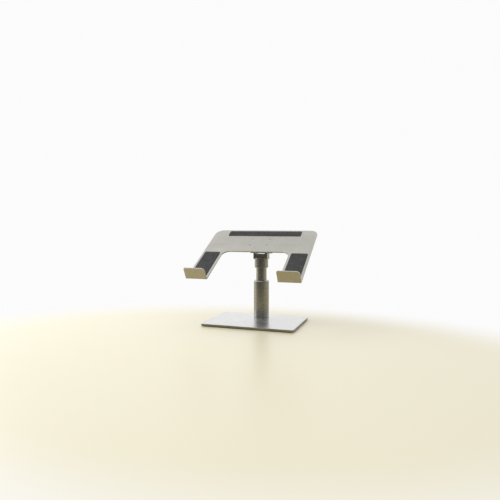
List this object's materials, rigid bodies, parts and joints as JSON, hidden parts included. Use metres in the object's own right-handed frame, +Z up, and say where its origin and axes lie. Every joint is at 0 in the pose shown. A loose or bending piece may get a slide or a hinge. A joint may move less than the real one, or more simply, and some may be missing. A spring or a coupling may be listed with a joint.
{
  "type": "laptop stand",
  "caption": "Desk laptop stand: rectangular plate base, telescoping round column with twist lock, friction hinge and a folded U-shaped tray with two front lips.",
  "frame": {"origin": "centre of the column's axis on the desk, at the underside of the base pad", "axes": "+Z up along the column; -Y is the front, where the laptop's front edge rests; +X is the right-hand side seen from the front; stored with the tray tilted at 29.2 degrees"},
  "size_m": [0.272, 0.2089, 0.2249],
  "materials": {
    "satin_aluminium": "fine-blasted and clear anodised, satin",
    "bright_steel": "bright satin plate, clear reflections",
    "zinc_steel": "zinc plated",
    "nylon": "moulded black nylon",
    "silicone": "matt black silicone"
  },
  "bodies": {
    "base": {"base_pad": "silicone", "base_plate": "bright_steel", "base_screw_1": "zinc_steel", "base_screw_2": "zinc_steel", "base_screw_3": "zinc_steel", "foot_plug": "zinc_steel", "column_tube": "satin_aluminium", "collar_sleeve": "zinc_steel", "clamp_collet": "nylon"},
    "twist_lock": {"lock_collar": "satin_aluminium"},
    "riser": {"inner_tube": "satin_aluminium", "slide_bush": "nylon", "hinge_head": "satin_aluminium", "grub_screw_1": "zinc_steel", "grub_screw_2": "zinc_steel", "hinge_bolt": "zinc_steel", "hinge_nut": "zinc_steel", "disc_spring_1": "zinc_steel", "disc_spring_2": "zinc_steel", "friction_washer_left": "nylon", "friction_washer_right": "nylon", "hinge_cap_left": "nylon", "hinge_cap_right": "nylon"},
    "tray": {"tilt_knuckle": "satin_aluminium", "tray_plate": "satin_aluminium", "tray_screw_1": "zinc_steel", "tray_screw_2": "zinc_steel", "tray_screw_3": "zinc_steel", "tray_screw_4": "zinc_steel", "arm_pad_left": "silicone", "arm_pad_right": "silicone", "lip_pad_left": "silicone", "lip_pad_right": "silicone", "rear_pad": "silicone"}
  },
  "joints": [
    {"name": "collar_twist", "type": "hinge", "parent": "base", "child": "twist_lock", "pos_m": [0, 0, 0.09115], "axis": [0, 0, 1], "range_deg": [0, 90]},
    {"name": "height_slide", "type": "slide", "parent": "base", "child": "riser", "axis": [0, 0, 1], "range_m": [-0.03, 0.012]},
    {"name": "tilt_hinge", "type": "hinge", "parent": "riser", "child": "tray", "pos_m": [0, 0, 0.1792], "axis": [1, 0, 0], "range_deg": [-29, 11]}
  ]
}
